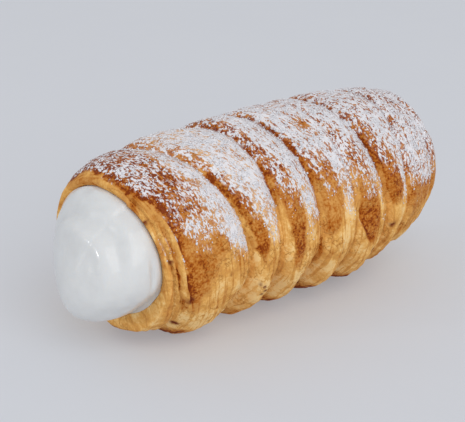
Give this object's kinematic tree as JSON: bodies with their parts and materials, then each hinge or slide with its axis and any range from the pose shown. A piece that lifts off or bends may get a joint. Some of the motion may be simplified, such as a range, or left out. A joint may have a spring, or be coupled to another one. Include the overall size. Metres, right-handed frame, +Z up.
{
  "type": "cream horn pastry",
  "caption": "Wound pastry horn lying on its side, its mouth filled with a white cream dome and its far end closed and blunt.",
  "frame": {"origin": "under the middle of the whole object's box, on the surface the horn rests on", "axes": "+X along the horn from its mouth to its blunt tip, +Z up; the side seen best in the picture faces -Y"},
  "size_m": [0.1308, 0.0582, 0.0577],
  "materials": {
    "pastry": "baked, egg-washed crust dusted with sugar",
    "cream": "smooth soft meringue cream",
    "sugar": "fine powdered sugar"
  },
  "bodies": {
    "root": {"pastry": "pastry", "cream": "cream"}
  },
  "joints": []
}
